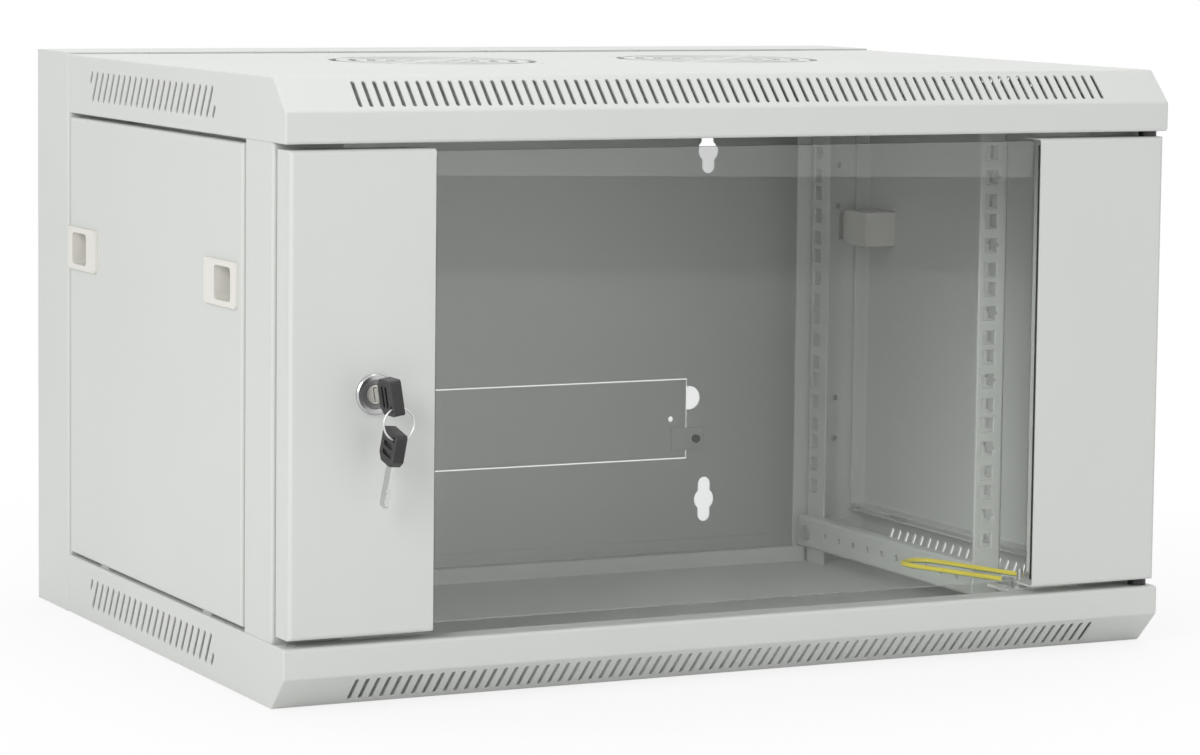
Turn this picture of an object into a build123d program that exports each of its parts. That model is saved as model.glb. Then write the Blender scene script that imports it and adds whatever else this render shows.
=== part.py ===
from build123d import *
import math
import os

# Overall cabinet: X to the right, front at -Y, origin in the middle of the base
WIDTH = 600.0
DEPTH = 450.0
HEIGHT = 368.0
WALL_DEPTH = 68.0       # depth of the section that is screwed to the wall
SEAM = 2.0              # gap between the wall section and the swinging section
MAIN_DROP = 1.0         # the swinging section is this much lower than the wall section
SHEET = 1.2
BEND = 1.0              # inner radius of a bend in sheet
SLACK = 0.3             # running clearance between pieces that move
SIDE = WIDTH / 2

# 19 inch pattern of the rack rails
RACK_UNITS = 6
UNIT = 44.45
UNIT_HOLES = (6.35, 22.225, 38.1)
RACK_INSET = 67.45      # from the outer side of the cabinet to the middle of the holes
RACK_PITCH = WIDTH - 2 * RACK_INSET
SQUARE_HOLE = 9.5

# Bent covers at the top and the bottom of the swinging section
LIP_HEIGHT = 18.0
CHAMFER = 20.0
LIP_RETURN = 18.0
REAR_FLANGE = 12.0
REAR_FLANGE_GAP = 2.0
SIDE_RETURN = 12.0
CHAMFER_SLOT_PITCH = 6.82
CHAMFER_SLOT_MARGIN = 47.6
CHAMFER_SLOTS = 1 + int((WIDTH - 2 * CHAMFER_SLOT_MARGIN) / CHAMFER_SLOT_PITCH)
CHAMFER_SLOT_WIDTH = 2.5
CHAMFER_SLOT_LENGTH = 20.0
SIDE_SLOT_PITCH = 10.3
SIDE_SLOT_MARGIN = 121.9
SIDE_SLOTS = 1 + int((DEPTH - 2 * SIDE_SLOT_MARGIN) / SIDE_SLOT_PITCH)
SIDE_SLOT_WIDTH = 3.0
SIDE_SLOT_HEIGHT = 19.4
SIDE_SLOT_LEAN = 29.0   # degrees, the top end forward
SHORT_SLOT_HEIGHT = 8.0

# Fan grilles in the top cover
FAN_X = 103.0
FAN_Y = 15.0
FAN_PITCH = 105.0
FAN_HOLE = 4.5
FAN_RINGS = (15.0, 27.5, 40.0, 52.0, 64.5)
FAN_SLOT = 5.0
FAN_BRIDGE = 6.0

# Corner posts, measured from the outer side of the cabinet and from the front
POST_INNER_X = SIDE - 46.0
POST_FRONT = 22.5
POST_STEP = 66.5        # the side of the front post ends here, in front of the side panel
POST_STEP_X = SIDE - 28.0
FRONT_POST_DEPTH = 62.5
REAR_POST_DEPTH = 25.0
FRONT_POST_HOLES = 76.0
REAR_POST_HOLES = 10.0
POST_SCREW_HOLES = (89.0, 118.0, HEIGHT - 112.0, HEIGHT - 83.0)
POST_SCREW_HOLE_X = SIDE - 25.0
POST_SCREW_HOLE = 4.0

# Channels that join the posts from front to back
CHANNEL_WEB_X = SIDE - 54.5
CHANNEL_SHEET = 1.5
CHANNEL_LOW = 13.0
CHANNEL_HEIGHT = 22.0
CHANNEL_END = 3.5       # free space between a channel's end and the post's outer face
CHANNEL_HOLE = 4.5
CHANNEL_PITCH = 20.0

# Rack rails
RAIL_SHEET = 2.0
RAIL_FRONT = 102.0
RAIL_FACE = 21.2
RAIL_DEPTH = 27.0
NOTCH = 3.0

# Screws of the frame and of the rails
FRAME_SCREW = 6.0
FRAME_HOLE = 6.5
FRAME_SCREW_INSET = 16.0
HEAD_HEIGHT = 2.5
HEAD_OVER = 2.5         # how far a screw head or nut stands out around its screw
NUT_HEIGHT = 3.5

# Door: two steel strips with a glass between and behind them
DOOR_SIDE_GAP = 3.0
DOOR_GAP_BOTTOM = 4.5
DOOR_GAP_TOP = 3.5
DOOR_DEPTH = 20.0
STRIP_WIDTH = 91.0
STRIP_BEND = 2.5
STRIP_RETURN = 14.0
GLASS = 4.0
GLASS_LAP = 12.0
GLASS_INSET_BOTTOM = 5.0
GLASS_INSET_TOP = 1.6
TAPE = 1.0
TAPE_OUT = 0.8          # width of tape that shows beside a strip
DOOR_AXIS_X = SIDE - 9.0
DOOR_AXIS_Y = 10.0      # behind the front face
DOOR_PIN = 5.0
BUSH = 11.5
BUSH_NECK = 7.6
BUSH_LENGTH = 5.0

# Lock in the left strip, measured from the front face
LOCK_X = 56.0 - SIDE
LOCK_Z = HEIGHT / 2
BEZEL = 24.0
BEZEL_THICK = 2.4
LOCK_RING = 17.4
LOCK_RING_THICK = 0.72
LOCK_BODY = 18.6
LOCK_LENGTH = 22.0
PLUG = 11.0
PLUG_OUT = 1.6
PLUG_LENGTH = 25.1
CAM_THICK = 2.0
CAM_WIDTH = 16.0
CAM_LENGTH = 26.0
LOCK_NUT = (13.0, 4.0)   # radius over corners, height
CAM_SCREW = 4.0
KEYWAY = (2.6, 8.6)
KEY_BLADE = (2.0, 8.0)
KEY_DEPTH = 18.0
KEY_HEAD_FRONT = 14.0
KEY_HEAD_LENGTH = 20.0
KEY_HEAD_WIDTH = 21.0
KEY_HEAD_THICK = 6.6
KEY_RECESS = 1.4
KEY_BLADE_LENGTH = 26.0
KEY_CORNER = 4.0
KEY_GROOVE = 3.0
KEY_GROOVE_PLACES = (0.3, 0.56)
KEY_OFFSET = 1.2        # middle of the head above the blade
KEY_TURN = -9.0         # degrees that the keyway is turned from upright
KEY_HOLE = 3.4
KEY_HOLE_ACROSS = 4.3
KEY_HOLE_ALONG = 3.6
KEY_TEETH = (0.8, 1.8, 0.6, 1.4)
KEY_TOOTH = 3.0
RING_RADIUS = 9.5
RING_WIRE = 1.2
SPARE_LEAN = 12.0       # degrees that the spare key's tip hangs towards the door
SPARE_TURN = 5.0        # degrees that it hangs to the left

# Side panels and their latches
PANEL_SHEET = 1.0
PANEL_FRONT = 68.0
PANEL_BACK_GAP = 3.3
PANEL_LOW_GAP = 2.3
PANEL_TOP_GAP = 2.7
PANEL_HEM = 12.0
PANEL_ROUND = 2.0
LATCH_Z = HEIGHT - 126.25
LATCH_FRONT_EDGE = 74.0
LATCH_BACK_GAP = 3.5    # from the rear latch to the rear of the swinging section
LATCH_BEZEL = (53.0, 27.5)
LATCH_PROUD = 1.8
LATCH_BOX = (31.0, 24.0)
LATCH_DEPTH = 25.0
LATCH_WALL = 2.0
LATCH_ROUND = 3.0
POCKET_MARGIN = 8.5
POCKET = (27.0, 20.5)
BOLT_THICK = 5.0
BOLT_WIDTH = 17.0
BOLT_TRAVEL = 5.5
BOLT_INSET = 1.2
RIDGE = (4.0, 9.0)
BUFFER = (9.0, 14.0)
BUFFER_PLACES = (0.2, 0.8)     # shares of the panel's length

# Wall section
WALL_ROUND = 8.0
WALL_LIP = 56.0
PLATE_FLANGE = 9.5
ENTRY_HALF = 117.0
ENTRY_DEPTH = 43.0
SLIT = 1.0
KEYHOLE_X = SIDE - 93.3
KEYHOLE_Z = (38.9, HEIGHT - 75.4)
KEYHOLE = 16.0
KEYHOLE_SLOT = 10.0
KEYHOLE_HEIGHT = 32.4
CUTOUT_HALF = SIDE - 108.1
CUTOUT_Z = (69.2, 127.8)
TAB_Z = (75.5, 92.0)
TAB_REACH = 13.0
CUTOUT_NOTCH = 8.5
CUTOUT_NOTCH_OUT = 2.0
CUTOUT_NOTCH_Z = 113.5
PLATE_HOLE_X = CUTOUT_HALF - 13.1
PLATE_HOLE_Z = 98.6
PLATE_SCREW = 3.0
PLATE_HEAD = 2.0
PLATE_HOLE = 4.0
KNOCKOUT_TAB = 4.0
KNOCKOUT_PLACES = (0.2, 0.8)   # shares of the entry's half width

# Hinge between the two sections, at the rear right
HINGE_X = SIDE - 6.0
HINGE_BACK = 15.0       # behind the front of the wall section
HINGE_PIN = 4.8
PIN_HEAD = 1.5
PIN_HEAD_RADIUS = 4.0
ARM = 3.0
ARM_EYE = 6.0
ARM_INNER_X = SIDE - 17.5
ARM_LEAF_X = SIDE - 42.0
ARM_LEAF = 26.0
ARM_SCREWS = (0.35, 0.75)      # places of the screws as shares of the leaf
BRACKET_SCREWS = (0.3, 0.75)
ARM_BOTTOM = 5.3
ARM_TOP = 3.2           # from the top of an arm down from the top of the wall section
HINGE_NOTCH_END = 36.0
BRACKET_LEG_X = SIDE - 20.0
BRACKET_DEPTH = 23.0
THUMB_X = SIDE - 24.0
THUMB_Z = (62.0, HEIGHT - 63.0)
THUMB_SCREW = 5.0
THUMB_HOLE = 6.4
THUMB_KNOB = (14.0, 10.0)
THUMB_RECESS = (2.8, 3.0)      # radius, depth
CLINCH_NUT = (10.0, 4.0)
THUMB_REACH = 9.0

# Earth lead between two studs on a tab at the lower right
TAB_PLATE = 2.0
EARTH_TAB_X = SIDE - 94.0
EARTH_TAB_Y = (26.0, 54.0)
STUD = 4.0
STUD_LENGTH = 12.0
TERMINAL = 1.0
EARTH_SCREW_X = SIDE - 51.0
EARTH_SCREW_INSET = 20.0
LEAD = 3.4
LEAD_RISE = 3.6         # centre of the lead above the tab
LEAD_START = (SIDE - 72.0, 38.0)
LEAD_ROUND = 0.45       # how much of a run its rounded corners may take
LEAD_ANGLE = 110.0      # direction of the loop away from the studs, in degrees from X
STUD_ACROSS = 11.5
BARREL = (2.3, 6.0, 13.0)
LEAD_ROUTE = [(13.0, 11.5), (42.0, 11.5), (76.0, 12.8), (95.0, 12.4), (102.4, 5.2),
              (102.1, -5.4), (94.6, -12.6), (75.0, -12.9), (41.0, -11.5), (13.0, -11.5)]

FRONT = -DEPTH / 2
BACK = DEPTH / 2
WALL_FRONT = BACK - WALL_DEPTH
MAIN_BACK = WALL_FRONT - SEAM
MAIN_TOP = HEIGHT - MAIN_DROP
INNER_SIDE = SIDE - SHEET
FLANGE = LIP_HEIGHT + CHAMFER
PANEL_BACK = MAIN_BACK - PANEL_BACK_GAP
PANEL_LOW = FLANGE + PANEL_LOW_GAP
PANEL_TOP = MAIN_TOP - FLANGE - PANEL_TOP_GAP
DOOR_SIDE = SIDE - DOOR_SIDE_GAP
DOOR_LOW = FLANGE + DOOR_GAP_BOTTOM
DOOR_TOP = MAIN_TOP - FLANGE - DOOR_GAP_TOP
RACK_LOW = (MAIN_TOP - RACK_UNITS * UNIT) / 2
EARTH_SCREW_Y = FRONT + EARTH_TAB_Y[0] + EARTH_SCREW_INSET
ARM_LOWS = (ARM_BOTTOM, HEIGHT - ARM_TOP - ARM)
CUT = 5.0               # how far a cutting solid runs past a sheet


def block(x, y, z):
    """Box between two limits along each axis."""
    size = [max(pair) - min(pair) for pair in (x, y, z)]
    middle = [(pair[0] + pair[1]) / 2 for pair in (x, y, z)]
    return Pos(*middle) * Box(*size)


def front_plane(x, y, z):
    """Plane at a point, facing the front, with X to the right and Z up."""
    return Plane(origin=(x, y, z), x_dir=(1, 0, 0), z_dir=(0, -1, 0))


def side_plane(x, y=0.0, z=0.0):
    """Plane at a point, facing the right, whose own axes run along Y and Z."""
    return Plane(origin=(x, y, z), x_dir=(0, 1, 0), z_dir=(1, 0, 0))


def rod_x(x, y, z, radius):
    """Round bar along X between two limits."""
    return extrude(side_plane(x[0], y, z) * Circle(radius), amount=x[1] - x[0])


def rod_y(x, y, z, radius):
    """Round bar along Y between two limits."""
    return extrude(front_plane(x, y[1], z) * Circle(radius), amount=y[1] - y[0])


def rod_z(x, y, z, radius):
    """Round bar along Z between two limits."""
    return extrude(Pos(x, y, z[0]) * Circle(radius), amount=z[1] - z[0])


def outline(points, radii):
    """Face inside a closed line of points, with one corner radius for each point."""
    return make_face(FilletPolyline(*points, radius=radii, close=True))


def bent_section(points, thickness, bend=BEND):
    """Section of a bent sheet: the points are its one side, and its thickness lies to their left."""
    bends = bend if isinstance(bend, list) else [bend] * (len(points) - 2)
    steps = [Vector(*b) - Vector(*a) for a, b in zip(points, points[1:])]
    normals = [Vector(-s.Y, s.X).normalized() for s in steps]
    offsets = [normals[0]]
    radii = [0.0]
    other_radii = [0.0]
    for first, second, step, inner in zip(normals, normals[1:], steps[1:], bends):
        offsets.append((first + second) * (1 / (1 + first.dot(second))))
        turns_left = first.dot(step) > 0
        radii.append(inner + thickness if turns_left else inner)
        other_radii.append(inner if turns_left else inner + thickness)
    offsets.append(normals[-1])
    radii.append(0.0)
    other_radii.append(0.0)
    other = [(p[0] + o.X * thickness, p[1] + o.Y * thickness) for p, o in zip(points, offsets)]
    return outline(list(points) + other[::-1], radii + other_radii[::-1])


def upright(points, thickness, low, high, bend=BEND):
    """Bent sheet that stands between two heights, from its section in plan."""
    return extrude(Pos(0, 0, low) * bent_section(points, thickness, bend), amount=high - low)


def mirrored_x(shape):
    return mirror(shape, about=Plane.YZ)


def mirrored_z(shape, middle):
    return mirror(shape, about=Plane.XY.offset(middle))


def save(name, *solids):
    """Write one sub-part, which may be a group of separate solids."""
    whole = solids[0] if len(solids) == 1 else Compound(children=list(solids))
    export_step(whole, f"parts/{name}.step")


def rack_heights():
    return [RACK_LOW + unit * UNIT + hole for unit in range(RACK_UNITS) for hole in UNIT_HOLES]


def screw_along(axis, place, start, radius, length, head_height=HEAD_HEIGHT):
    """Screw whose head sits at start and whose shank runs on by length; a negative length runs back."""
    make = {"x": rod_x, "y": rod_y, "z": rod_z}[axis]
    sign = 1 if length > 0 else -1
    head = sorted((start - sign * head_height, start))
    shank = sorted((start, start + length))
    solids = []
    for limits, size in ((head, radius + HEAD_OVER), (shank, radius)):
        at = list(place)
        at.insert("xyz".index(axis), limits)
        solids.append(make(*at, size))
    return solids[0] + solids[1]


def nut_along(axis, place, start, radius, height):
    """Hexagon nut with a clearance hole, from start on along the axis."""
    planes = {"x": side_plane(start, *place), "y": front_plane(place[0], start, place[1]),
              "z": Plane.XY.offset(start).move(Location((place[0], place[1], 0)))}
    face = RegularPolygon(radius + HEAD_OVER, 6) - Circle(radius + SLACK / 2)
    amount = -height if axis == "y" else height
    return extrude(planes[axis] * face, amount=amount)


def rack_cutters(x, y, across, notch_side):
    """Square holes of the rack pattern; the middle hole of each unit has a V notch at one side."""
    size = (SQUARE_HOLE, 2 * CUT, SQUARE_HOLE) if across == "x" else (2 * CUT, SQUARE_HOLE, SQUARE_HOLE)
    cutters = [Pos(x, y, z) * Box(*size) for z in rack_heights()]
    for unit in range(RACK_UNITS):
        z = RACK_LOW + unit * UNIT + UNIT_HOLES[1]
        shift = notch_side * SQUARE_HOLE / 2
        if across == "x":
            cutters.append(Pos(x + shift, y, z) * Rot(0, 45, 0) * Box(NOTCH, 2 * CUT, NOTCH))
        else:
            cutters.append(Pos(x, y + shift, z) * Rot(45, 0, 0) * Box(2 * CUT, NOTCH, NOTCH))
    return cutters


def cover_blank():
    """Bottom cover without its side slots: plate, chamfer, front lip, flanges and their returns."""
    skew = SHEET * (math.sqrt(2) - 1)
    bend = BEND + SHEET
    outer_face = outline([(FRONT, FLANGE), (FRONT, CHAMFER), (FRONT + CHAMFER, 0), (MAIN_BACK, 0),
                          (MAIN_BACK, FLANGE)], [bend, bend, bend, 0, 0])
    inner_face = outline([(FRONT + SHEET, FLANGE - SHEET), (FRONT + SHEET, CHAMFER + skew),
                          (FRONT + CHAMFER + skew, SHEET), (MAIN_BACK + CUT, SHEET),
                          (MAIN_BACK + CUT, FLANGE + CUT), (FRONT + LIP_RETURN, FLANGE + CUT),
                          (FRONT + LIP_RETURN, FLANGE - SHEET)], [BEND, BEND, BEND, 0, 0, 0, 0])
    outer = extrude(side_plane(0) * outer_face, amount=SIDE, both=True)
    rims = [e for e in outer.edges() if abs(abs(e.center().X) - SIDE) < 0.01
            and e.center().Z < FLANGE - 0.1 and e.center().Y < MAIN_BACK - 0.1]
    outer = fillet(rims, SHEET)
    cover = outer - extrude(side_plane(0) * inner_face, amount=INNER_SIDE, both=True)
    rear_half = POST_INNER_X - REAR_FLANGE_GAP
    cover += block((-rear_half, rear_half), (MAIN_BACK - SHEET, MAIN_BACK), (0, REAR_FLANGE))
    side_return = block((INNER_SIDE - SIDE_RETURN, INNER_SIDE), (FRONT + PANEL_FRONT, PANEL_BACK),
                        (FLANGE - SHEET, FLANGE))
    cover = cover + side_return + mirrored_x(side_return)
    slope = Plane(origin=(0, FRONT + CHAMFER / 2, CHAMFER / 2), x_dir=(0, -1, 1), z_dir=(0, -1, -1))
    slot_face = slope * SlotOverall(CHAMFER_SLOT_LENGTH, CHAMFER_SLOT_WIDTH)
    slot = extrude(slot_face, amount=2 * SHEET, both=True)
    first = -(CHAMFER_SLOTS - 1) / 2 * CHAMFER_SLOT_PITCH
    cover -= [Pos(first + k * CHAMFER_SLOT_PITCH, 0, 0) * slot for k in range(CHAMFER_SLOTS)]
    pin = DOOR_PIN / 2 + SLACK / 2
    for x in (-DOOR_AXIS_X, DOOR_AXIS_X):
        cover -= rod_z(x, FRONT + DOOR_AXIS_Y, (FLANGE - CUT, FLANGE + CUT), pin)
    return cover


def side_slot_cutters(z):
    """Leaning slots through both side flanges, with a short slot in the two empty corners."""
    lean = math.radians(SIDE_SLOT_LEAN)
    middle = (SIDE_SLOTS - 1) / 2

    def slot(y, rise, height):
        length = (height - SIDE_SLOT_WIDTH) / math.cos(lean) + SIDE_SLOT_WIDTH
        face = Pos(y - rise * math.tan(lean), z + rise) * Rot(0, 0, 90 + SIDE_SLOT_LEAN)
        leaning = side_plane(0) * face * SlotOverall(length, SIDE_SLOT_WIDTH)
        return extrude(leaning, amount=SIDE + CUT, both=True)

    cutters = [slot((k - middle) * SIDE_SLOT_PITCH, 0, SIDE_SLOT_HEIGHT) for k in range(SIDE_SLOTS)]
    corner = (SIDE_SLOT_HEIGHT - SHORT_SLOT_HEIGHT) / 2
    reach = (middle + 1) * SIDE_SLOT_PITCH
    return cutters + [slot(reach, corner, SHORT_SLOT_HEIGHT), slot(-reach, -corner, SHORT_SLOT_HEIGHT)]


def fan_grille(x):
    """Rings of arc slots and four screw holes for one fan, as a cutting solid through the top cover."""
    rings = [Circle(r + FAN_SLOT / 2) - Circle(r - FAN_SLOT / 2) for r in FAN_RINGS]
    reach = 2 * (FAN_RINGS[-1] + FAN_SLOT)
    bridges = [Rot(0, 0, turn) * Rectangle(reach, FAN_BRIDGE) for turn in (45, 135)]
    face = Sketch() + rings - bridges
    face += GridLocations(FAN_PITCH, FAN_PITCH, 2, 2) * Circle(FAN_HOLE / 2)
    return extrude(Pos(x, FAN_Y, MAIN_TOP) * face, amount=CUT, both=True)


def make_covers():
    blank = cover_blank()
    side_z = FLANGE / 2
    save("bottom_cover", blank - side_slot_cutters(side_z))
    top = mirrored_z(blank, MAIN_TOP / 2) - side_slot_cutters(MAIN_TOP - side_z)
    save("top_cover", top - [fan_grille(-FAN_X), fan_grille(FAN_X)])


def strike_cutter(y):
    """Hole that the bolt of a side latch enters."""
    middle = SIDE - LATCH_DEPTH + LATCH_WALL + SLACK + BOLT_THICK / 2
    half = BOLT_THICK / 2 + SLACK * 3
    tall = BOLT_WIDTH / 2 + SLACK * 3
    return block((middle - half, middle + half), (y - 2 * SHEET, y + 2 * SHEET),
                 (LATCH_Z - tall, LATCH_Z + tall))


def frame_screw_places():
    """Y and Z of the screws that hold the channels to the posts."""
    low = CHANNEL_LOW + CHANNEL_HEIGHT / 2
    front = FRONT + POST_FRONT + FRAME_SCREW_INSET
    return [(y, z) for y in (front, MAIN_BACK - FRAME_SCREW_INSET) for z in (low, MAIN_TOP - low)]


def arm_screw_places(arm_low):
    """X and Z of the screws that hold one hinge arm to the rear post."""
    up = 1 if arm_low < HEIGHT / 2 else -1
    edge = arm_low + ARM if up > 0 else arm_low
    x = (ARM_LEAF_X + ARM_INNER_X) / 2
    return [(x, edge + up * ARM_LEAF * share) for share in ARM_SCREWS]


def front_post():
    front = FRONT + POST_FRONT
    step = FRONT + POST_STEP
    points = [(POST_INNER_X, front + FRONT_POST_DEPTH), (POST_INNER_X, front), (INNER_SIDE, front),
              (INNER_SIDE, step), (POST_STEP_X, step)]
    post = upright(points, SHEET, SHEET, MAIN_TOP - SHEET)
    post -= rack_cutters(POST_INNER_X, FRONT + FRONT_POST_HOLES, "y", -1)
    post -= strike_cutter(step - SHEET / 2)
    reach = (POST_INNER_X - CUT, POST_INNER_X + CUT)
    return post - [rod_x(reach, y, z, FRAME_HOLE / 2) for y, z in frame_screw_places() if y < 0]


def rear_post():
    points = [(INNER_SIDE, MAIN_BACK), (POST_INNER_X, MAIN_BACK), (POST_INNER_X, MAIN_BACK - REAR_POST_DEPTH)]
    post = upright(points, SHEET, SHEET, MAIN_TOP - SHEET)
    post -= rack_cutters(POST_INNER_X, MAIN_BACK - REAR_POST_HOLES, "y", -1)
    post -= strike_cutter(MAIN_BACK - SHEET / 2)
    web = (MAIN_BACK - 2 * SHEET, MAIN_BACK + SHEET)
    post -= [rod_y(POST_SCREW_HOLE_X, web, z, POST_SCREW_HOLE / 2) for z in POST_SCREW_HOLES]
    reach = (POST_INNER_X - CUT, POST_INNER_X + CUT)
    return post - [rod_x(reach, y, z, FRAME_HOLE / 2) for y, z in frame_screw_places() if y > 0]


def make_posts():
    front = front_post()
    save("post_front_right", front)
    cam_reach = math.hypot(CAM_LENGTH, CAM_WIDTH / 2) + SLACK
    slot = block((-POST_INNER_X - 2 * SHEET, -POST_INNER_X + SHEET),
                 (FRONT + POST_FRONT + SHEET + SLACK, FRONT + PLUG_LENGTH + 3 * CAM_THICK),
                 (LOCK_Z - cam_reach, LOCK_Z + CAM_WIDTH / 2 + 2 * SLACK))
    save("post_front_left", mirrored_x(front) - slot)
    rear = rear_post()
    thumb = [rod_y(-THUMB_X, (MAIN_BACK - CUT, MAIN_BACK + CUT), z, THUMB_HOLE / 2) for z in THUMB_Z]
    save("post_rear_left", mirrored_x(rear) - thumb)
    for low in ARM_LOWS:
        rear -= block((ARM_INNER_X - 3 * SLACK, SIDE), (MAIN_BACK - 2 * SHEET, MAIN_BACK + SHEET),
                      (low - SLACK, low + ARM + SLACK))
        rear -= [rod_y(x, (MAIN_BACK - CUT, MAIN_BACK + CUT), z, FRAME_HOLE / 2)
                 for x, z in arm_screw_places(low)]
    save("post_rear_right", rear)


def channel():
    """Lower right channel between the posts."""
    high = CHANNEL_LOW + CHANNEL_HEIGHT
    points = [(POST_INNER_X, high), (CHANNEL_WEB_X, high), (CHANNEL_WEB_X, CHANNEL_LOW),
              (POST_INNER_X, CHANNEL_LOW)]
    start = FRONT + POST_FRONT + CHANNEL_END
    length = MAIN_BACK - CHANNEL_END - start
    bar = extrude(front_plane(0, start + length, 0) * bent_section(points, CHANNEL_SHEET), amount=length)
    middle = CHANNEL_LOW + CHANNEL_HEIGHT / 2
    reach = (CHANNEL_WEB_X - CUT, CHANNEL_WEB_X + CUT)
    screw_y = FRONT + RAIL_FRONT + FRAME_SCREW_INSET
    last = MAIN_BACK - REAR_POST_DEPTH
    count = int((last - screw_y) // CHANNEL_PITCH)
    holes = [(screw_y + k * CHANNEL_PITCH, CHANNEL_HOLE) for k in range(-1, count + 1) if k != 0]
    holes += [(y, FRAME_HOLE) for y in (screw_y, *{place[0] for place in frame_screw_places()})]
    return bar - [rod_x(reach, y, middle, size / 2) for y, size in holes]


def make_channels():
    lower = channel()
    upper = mirrored_z(lower, MAIN_TOP / 2)
    high = CHANNEL_LOW + CHANNEL_HEIGHT
    earth_hole = rod_z(EARTH_SCREW_X, EARTH_SCREW_Y, (high - CUT, high + CUT), STUD / 2 + SLACK / 2)
    save("depth_rail_bottom_right", lower - earth_hole)
    save("depth_rail_bottom_left", mirrored_x(lower))
    save("depth_rail_top_right", upper)
    save("depth_rail_top_left", mirrored_x(upper))


def rail_screw_places():
    low = CHANNEL_LOW + CHANNEL_HEIGHT / 2
    return [(FRONT + RAIL_FRONT + FRAME_SCREW_INSET, z) for z in (low, MAIN_TOP - low)]


def make_rails():
    front = FRONT + RAIL_FRONT
    points = [(CHANNEL_WEB_X - RAIL_FACE, front), (CHANNEL_WEB_X, front), (CHANNEL_WEB_X, front + RAIL_DEPTH)]
    rail = upright(points, RAIL_SHEET, CHANNEL_LOW, MAIN_TOP - CHANNEL_LOW)
    rail -= rack_cutters(RACK_PITCH / 2, front, "x", 1)
    rail -= rack_cutters(CHANNEL_WEB_X, front + FRAME_SCREW_INSET, "y", 1)
    reach = (CHANNEL_WEB_X - CUT, CHANNEL_WEB_X + CUT)
    rail -= [rod_x(reach, y, z, FRAME_HOLE / 2) for y, z in rail_screw_places()]
    save("rack_rail_right", rail)
    save("rack_rail_left", mirrored_x(rail))


def make_frame_screws():
    """Screws with nuts that hold the rails to the channels, and the channels and arms to the posts."""
    radius = FRAME_SCREW / 2
    rail_side = []
    web = CHANNEL_WEB_X + CHANNEL_SHEET
    for place in rail_screw_places():
        head_face = CHANNEL_WEB_X - RAIL_SHEET
        rail_side.append(screw_along("x", place, head_face, radius, web + NUT_HEIGHT + 1 - head_face))
        rail_side.append(nut_along("x", place, web, radius, NUT_HEIGHT))
    save("rail_screws", *rail_side, *[mirrored_x(s) for s in rail_side])
    frame_side = []
    post = POST_INNER_X + SHEET
    for place in frame_screw_places():
        length = post + NUT_HEIGHT + 1 - CHANNEL_WEB_X
        frame_side.append(screw_along("x", place, CHANNEL_WEB_X, radius, length))
        frame_side.append(nut_along("x", place, post, radius, NUT_HEIGHT))
    arm_face = MAIN_BACK - SHEET - ARM
    arms = [screw_along("y", place, arm_face, radius, SHEET + ARM)
            for low in ARM_LOWS for place in arm_screw_places(low)]
    save("frame_screws", *frame_side, *[mirrored_x(s) for s in frame_side], *arms)


def hinge_screw_places(arm_low):
    """X and Z of the screws that hold one hinge bracket to the lip of the wall section."""
    up = 1 if arm_low < HEIGHT / 2 else -1
    edge = arm_low if up > 0 else arm_low - SLACK - ARM
    x = (ARM_LEAF_X + BRACKET_LEG_X) / 2
    return [(x, edge + up * ARM_LEAF * share) for share in BRACKET_SCREWS]


def make_section_hinge():
    """Arms of the swinging section, and the brackets and pins of the wall section that carry them."""
    pin_y = WALL_FRONT + HINGE_BACK
    lip = WALL_FRONT + SHEET
    hole = HINGE_PIN / 2 + SLACK / 2
    arms, brackets, pins, screws = [], [], [], []
    for low in ARM_LOWS:
        up = 1 if low < HEIGHT / 2 else -1
        arm_z = (low, low + ARM)
        web = MAIN_BACK - SHEET
        leaf_z = (low, low + ARM_LEAF) if up > 0 else (low + ARM - ARM_LEAF, low + ARM)
        arm = block((ARM_LEAF_X, ARM_INNER_X), (web - ARM, web), leaf_z)
        arm += block((ARM_LEAF_X, INNER_SIDE - SLACK), (web - ARM, web), arm_z)
        arm += block((ARM_INNER_X, INNER_SIDE - SLACK), (web - ARM, pin_y), arm_z)
        arm += rod_z(HINGE_X, pin_y, arm_z, ARM_EYE)
        arm -= rod_z(HINGE_X, pin_y, (low - CUT, low + ARM + CUT), hole)
        arm -= [rod_y(x, (web - ARM - CUT, web + CUT), z, FRAME_HOLE / 2) for x, z in arm_screw_places(low)]
        arms.append(arm)
        seat = (low - SLACK - ARM, low - SLACK)
        leg_z = (seat[0], seat[0] + ARM_LEAF) if up > 0 else (seat[1] - ARM_LEAF, seat[1])
        bracket = block((ARM_LEAF_X, INNER_SIDE - BEND), (lip, lip + BRACKET_DEPTH), seat)
        bracket += block((ARM_LEAF_X, BRACKET_LEG_X), (lip, lip + ARM), leg_z)
        bracket -= rod_z(HINGE_X, pin_y, (seat[0] - CUT, seat[1] + CUT), hole)
        bracket -= [rod_y(x, (lip - CUT, lip + ARM + CUT), z, FRAME_HOLE / 2)
                    for x, z in hinge_screw_places(low)]
        brackets.append(bracket)
        pin_top = low + ARM + SLACK
        pins.append(rod_z(HINGE_X, pin_y, (seat[0], pin_top), HINGE_PIN / 2)
                    + rod_z(HINGE_X, pin_y, (pin_top, pin_top + PIN_HEAD), PIN_HEAD_RADIUS))
        screws += [screw_along("y", place, lip + ARM, FRAME_SCREW / 2, -ARM - SHEET)
                   for place in hinge_screw_places(low)]
    save("section_hinge_arms", *arms)
    save("section_hinge_brackets", *brackets)
    save("section_hinge_pins", *pins)
    save("section_hinge_screws", *screws)


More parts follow.
